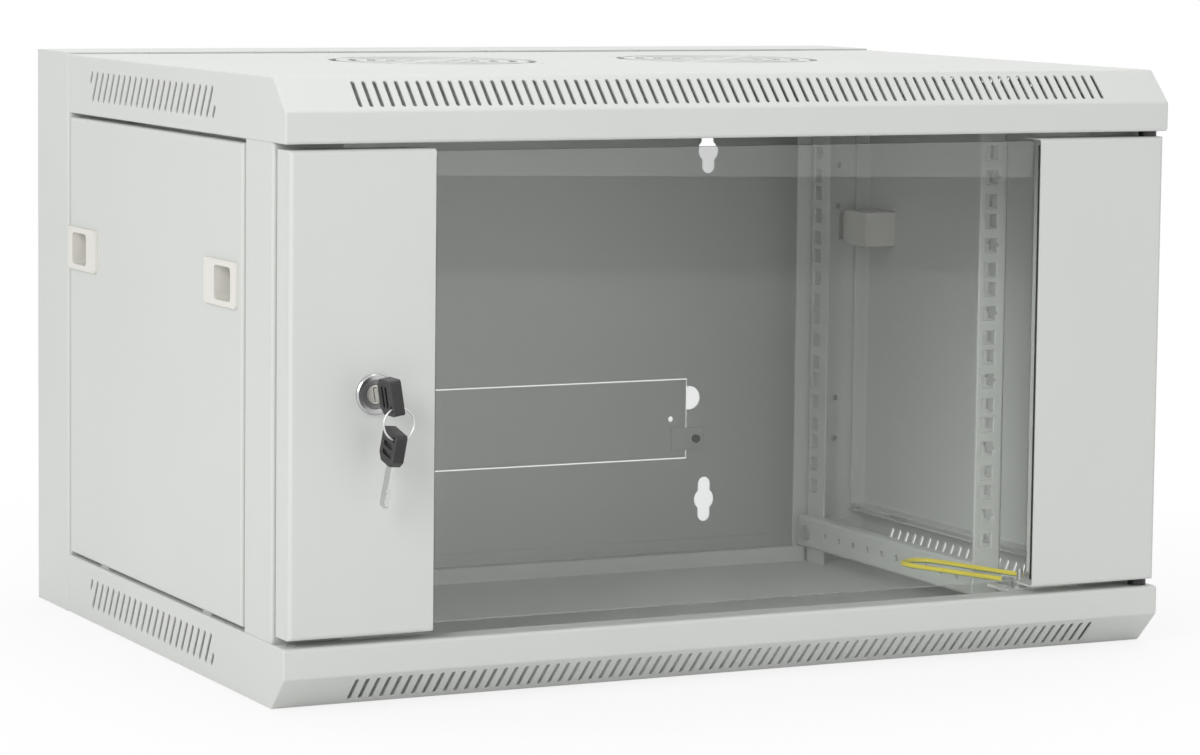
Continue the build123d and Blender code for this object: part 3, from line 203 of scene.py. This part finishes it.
def coat(name, face, patch, edge, rough, metal=0.0, grain_scale=1200.0, patch_scale=9.0,
         depth=0.00006, radius=0.0008):
    # The colour drifts from face to patch over the piece and ends in edge where it bends, a painted
    # highlight on each bend and edge.
    material = bpy.data.materials.new(name)
    material.use_nodes = True
    nodes, links = material.node_tree.nodes, material.node_tree.links
    skin = nodes["Principled BSDF"]
    grained = nodes.new("ShaderNodeGroup")
    grained.node_tree = grain
    grained.inputs["Grain Scale"].default_value = grain_scale
    grained.inputs["Patch Scale"].default_value = patch_scale
    edge_highlighter = nodes.new("ShaderNodeGroup")
    edge_highlighter.node_tree = edge_highlight_group
    edge_highlighter.inputs["Radius"].default_value = radius
    tone = nodes.new("ShaderNodeMix")
    tone.data_type = "RGBA"
    tone.inputs["A"].default_value = (*face, 1)
    tone.inputs["B"].default_value = (*patch, 1)
    links.new(grained.outputs["Patches"], tone.inputs["Factor"])
    # Painted highlight: bends and edges take the lighter edge colour.
    edged = nodes.new("ShaderNodeMix")
    edged.data_type = "RGBA"
    edged.inputs["B"].default_value = (*edge, 1)
    links.new(edge_highlighter.outputs["Edge"], edged.inputs["Factor"])
    links.new(tone.outputs["Result"], edged.inputs["A"])
    links.new(edged.outputs["Result"], skin.inputs["Base Color"])
    gloss = nodes.new("ShaderNodeMapRange")
    gloss.inputs["To Min"].default_value = rough[0]
    gloss.inputs["To Max"].default_value = rough[1]
    links.new(grained.outputs["Height"], gloss.inputs["Value"])
    links.new(gloss.outputs[0], skin.inputs["Roughness"])
    bump = nodes.new("ShaderNodeBump")
    bump.inputs["Strength"].default_value = 0.5
    bump.inputs["Distance"].default_value = depth
    links.new(grained.outputs["Height"], bump.inputs["Height"])
    links.new(edge_highlighter.outputs["Rounded"], bump.inputs["Normal"])
    links.new(bump.outputs[0], skin.inputs["Normal"])
    skin.inputs["Metallic"].default_value = metal
    return material


powder = coat("grey_powder_coat", (0.62, 0.635, 0.61), (0.655, 0.67, 0.645), (0.70, 0.71, 0.69),
              (0.42, 0.52), grain_scale=2100.0, depth=0.00003)
paint(powder, "wall_pan", "wall_top_plate", "wall_bottom_plate", "cable_entry_covers_top",
      "cable_entry_covers_bottom", "rear_cable_plate", "top_cover", "bottom_cover",
      "post_front_left", "post_front_right", "post_rear_left", "post_rear_right",
      "depth_rail_top_left", "depth_rail_top_right", "depth_rail_bottom_left",
      "depth_rail_bottom_right", "rack_rail_left", "rack_rail_right", "section_hinge_brackets",
      "section_hinge_arms", "door_lock_strip", "door_hinge_strip", "side_panel_left",
      "side_panel_right", "earth_bracket")


# Screws, studs, nuts and pins. Steel with a thin zinc plating, which is bright but not polished.
zinc = coat("zinc_plated_steel", (0.62, 0.63, 0.64), (0.72, 0.72, 0.71), (0.82, 0.82, 0.82),
            (0.26, 0.42), metal=1.0, grain_scale=2600.0, patch_scale=120.0, depth=0.00003,
            radius=0.0003)
paint(zinc, "frame_screws", "rail_screws", "section_hinge_pins", "section_hinge_screws",
      "clinch_nuts", "section_thumb_screws", "earth_studs", "earth_terminals",
      "door_hinge_pins", "key_blade", "spare_key_blade", "key_ring", "lock_cam", "cam_screw",
      "lock_nut")


# Rear plate screws. Steel pan heads, blackened.
blackened = coat("blackened_steel", (0.02, 0.02, 0.021), (0.035, 0.035, 0.036),
                 (0.11, 0.11, 0.11), (0.32, 0.45), metal=0.4, grain_scale=2200.0,
                 patch_scale=90.0, depth=0.00004, radius=0.0003)
paint(blackened, "rear_plate_screws")


# Door glass. A 4 mm toughened pane with polished faces and the faint green of plain float glass.
# The lamps reach the inside through it.
clean_tint = (0.985, 0.995, 0.99, 1)
smeared_tint = (0.97, 0.985, 0.975, 1)
lamp_tint = (0.97, 0.985, 0.975, 1)
glass = bpy.data.materials.new("float_glass")
glass.use_nodes = True
nodes, links = glass.node_tree.nodes, glass.node_tree.links
pane = nodes["Principled BSDF"]
pane.inputs["Transmission Weight"].default_value = 1
pane.inputs["Roughness"].default_value = 0
pane.inputs["IOR"].default_value = 1.5
smear_place = nodes.new("ShaderNodeTexCoord")
smear = nodes.new("ShaderNodeTexNoise")
smear.inputs["Scale"].default_value = 7
smear.inputs["Detail"].default_value = 4
smear_tint = nodes.new("ShaderNodeMix")
smear_tint.data_type = "RGBA"
smear_tint.inputs["A"].default_value = smeared_tint
smear_tint.inputs["B"].default_value = clean_tint
links.new(smear_place.outputs["Object"], smear.inputs["Vector"])
links.new(smear.outputs[0], smear_tint.inputs["Factor"])
links.new(smear_tint.outputs["Result"], pane.inputs["Base Color"])
lamp_path = nodes.new("ShaderNodeLightPath")
let_through = nodes.new("ShaderNodeBsdfTransparent")
let_through.inputs["Color"].default_value = lamp_tint
pane_or_clear = nodes.new("ShaderNodeMixShader")
links.new(lamp_path.outputs["Is Shadow Ray"], pane_or_clear.inputs[0])
links.new(pane.outputs[0], pane_or_clear.inputs[1])
links.new(let_through.outputs[0], pane_or_clear.inputs[2])
links.new(pane_or_clear.outputs[0], nodes["Material Output"].inputs["Surface"])
paint(glass, "door_glass")


# Glass tapes. Black foam tape that holds the pane to the two door strips.
tape = coat("black_foam_tape", (0.012, 0.012, 0.012), (0.02, 0.02, 0.02), (0.03, 0.03, 0.03),
            (0.6, 0.8), grain_scale=1800.0, patch_scale=60.0, depth=0.0001, radius=0.0002)
paint(tape, "glass_tapes")


# Key heads. Ribbed black plastic moulded over the blades, satin on top, with a painted highlight along
# its edges.
moulding = coat("black_moulding", (0.013, 0.013, 0.014), (0.022, 0.022, 0.023),
                (0.06, 0.06, 0.062), (0.3, 0.44), grain_scale=2400.0, patch_scale=70.0,
                depth=0.00005, radius=0.0005)
paint(moulding, "key_head", "spare_key_head", "door_hinge_bushes")


# Lock. A die-cast body with a satin chromed bezel, a thin dark ring, and a nickelled brass plug.
chrome = coat("chromed_zinc", (0.46, 0.46, 0.47), (0.55, 0.55, 0.56), (0.72, 0.72, 0.72),
              (0.2, 0.3), metal=1.0, grain_scale=900.0, patch_scale=60.0, depth=0.00001,
              radius=0.0004)
paint(chrome, "lock_body")
dark_ring = coat("dark_cast_ring", (0.16, 0.16, 0.165), (0.24, 0.24, 0.24), (0.4, 0.4, 0.4),
                 (0.3, 0.42), metal=0.8, grain_scale=2400.0, patch_scale=90.0, depth=0.00003,
                 radius=0.0003)
paint(dark_ring, "lock_ring")
brass = coat("nickelled_brass", (0.60, 0.58, 0.53), (0.70, 0.68, 0.63), (0.80, 0.78, 0.73),
             (0.25, 0.38), metal=1.0, grain_scale=2600.0, patch_scale=120.0, depth=0.00003,
             radius=0.0003)
paint(brass, "lock_plug")


# Latches. Off-white moulded housings in the side panels, with a slide that shows milky from inside.
white_moulding = coat("white_moulding", (0.72, 0.71, 0.66), (0.75, 0.74, 0.69),
                      (0.80, 0.79, 0.74), (0.34, 0.46), grain_scale=1500.0, patch_scale=50.0,
                      depth=0.00004, radius=0.0006)
milky = coat("milky_moulding", (0.60, 0.56, 0.46), (0.66, 0.62, 0.52), (0.74, 0.71, 0.62),
             (0.24, 0.36), grain_scale=1500.0, patch_scale=50.0, depth=0.00004, radius=0.0006)
for corner in ("front_left", "rear_left", "front_right", "rear_right"):
    paint(white_moulding, "latch_housing_" + corner)
    paint(milky, "latch_bolt_" + corner)


# Panel buffers. Small soft rubber seats that stop the side panels from rattling.
rubber = coat("grey_rubber_pad", (0.40, 0.41, 0.39), (0.46, 0.47, 0.45), (0.52, 0.53, 0.51),
              (0.6, 0.75), grain_scale=1600.0, patch_scale=60.0, depth=0.00008, radius=0.0005)
paint(rubber, "panel_buffers")


# Floor. A wide pale table under the cabinet. It takes the soft shadow and fades to white.
reach = 6
far_reach = 9
drop = 0.0005
fade_start = 0.35
fade_end = 0.75
near_white = 0.8
floor_corners = [(-reach, -reach, 0), (reach, -reach, 0), (reach, far_reach, 0), (-reach, far_reach, 0)]
floor_mesh = bpy.data.meshes.new("floor")
floor_mesh.from_pydata(floor_corners, [], [(0, 1, 2, 3)])
floor = bpy.data.objects.new("floor", floor_mesh)
floor.location = (0, 0, cad_box[0][2] - drop)
bpy.context.scene.collection.objects.link(floor)
pale = bpy.data.materials.new("pale_table")
pale.use_nodes = True
nodes, links = pale.node_tree.nodes, pale.node_tree.links
table_top = nodes["Principled BSDF"]
table_top.inputs["Base Color"].default_value = (0.9, 0.9, 0.9, 1)
table_top.inputs["Roughness"].default_value = 0.7
bright = nodes.new("ShaderNodeEmission")
bright.inputs["Strength"].default_value = 1
seen = nodes.new("ShaderNodeLightPath")
table_place = nodes.new("ShaderNodeNewGeometry")
from_middle = nodes.new("ShaderNodeVectorMath")
from_middle.operation = "LENGTH"
fade = nodes.new("ShaderNodeMapRange")
fade.inputs["From Min"].default_value = fade_start
fade.inputs["From Max"].default_value = fade_end
fade.inputs["To Min"].default_value = near_white
fade.inputs["To Max"].default_value = 1
seen_share = nodes.new("ShaderNodeMath")
seen_share.operation = "MULTIPLY"
table_mix = nodes.new("ShaderNodeMixShader")
links.new(table_place.outputs["Position"], from_middle.inputs[0])
links.new(from_middle.outputs["Value"], fade.inputs["Value"])
links.new(seen.outputs["Is Camera Ray"], seen_share.inputs[0])
links.new(fade.outputs[0], seen_share.inputs[1])
links.new(seen_share.outputs[0], table_mix.inputs[0])
links.new(table_top.outputs[0], table_mix.inputs[1])
links.new(bright.outputs[0], table_mix.inputs[2])
links.new(table_mix.outputs[0], nodes["Material Output"].inputs["Surface"])
floor_mesh.materials.append(pale)


# Studio light. A wide soft lamp at the left front, a much weaker one at the right front, and one
# above. The even light of a white room fills the rest.
room_light = 0.52
aim_height = 0.2
lamps = (
    ("key_lamp", (-2.6, -1.8, 1.7), 1.8, 52),
    ("front_lamp", (0.9, -2.7, 0.9), 1.6, 6),
    ("top_lamp", (0.2, 0.3, 2.6), 1.6, 24),
)
world = bpy.data.worlds.new("studio")
bpy.context.scene.world = world
world.use_nodes = True
nodes, links = world.node_tree.nodes, world.node_tree.links
ambient = nodes["Background"]
ambient.inputs["Color"].default_value = (1, 1, 1, 1)
ambient.inputs["Strength"].default_value = room_light
white = nodes.new("ShaderNodeBackground")
white.inputs["Color"].default_value = (1, 1, 1, 1)
white.inputs["Strength"].default_value = 1
rays = nodes.new("ShaderNodeLightPath")
camera_or_glossy = nodes.new("ShaderNodeMath")
camera_or_glossy.operation = "MAXIMUM"
any_clear = nodes.new("ShaderNodeMath")
any_clear.operation = "MAXIMUM"
sky = nodes.new("ShaderNodeMixShader")
links.new(rays.outputs["Is Camera Ray"], camera_or_glossy.inputs[0])
links.new(rays.outputs["Is Glossy Ray"], camera_or_glossy.inputs[1])
links.new(camera_or_glossy.outputs[0], any_clear.inputs[0])
links.new(rays.outputs["Is Transmission Ray"], any_clear.inputs[1])
links.new(any_clear.outputs[0], sky.inputs[0])
links.new(ambient.outputs[0], sky.inputs[1])
links.new(white.outputs[0], sky.inputs[2])
links.new(sky.outputs[0], nodes["World Output"].inputs["Surface"])
for lamp_name, stand, width, watts in lamps:
    lamp = bpy.data.lights.new(lamp_name, "AREA")
    lamp.size = width
    lamp.energy = watts
    lamp_object = bpy.data.objects.new(lamp_name, lamp)
    lamp_object.location = stand
    aim = Vector((0, 0, aim_height)) - Vector(stand)
    lamp_object.rotation_euler = aim.to_track_quat("-Z", "Y").to_euler()
    bpy.context.scene.collection.objects.link(lamp_object)
bpy.context.scene.view_settings.view_transform = "Standard"
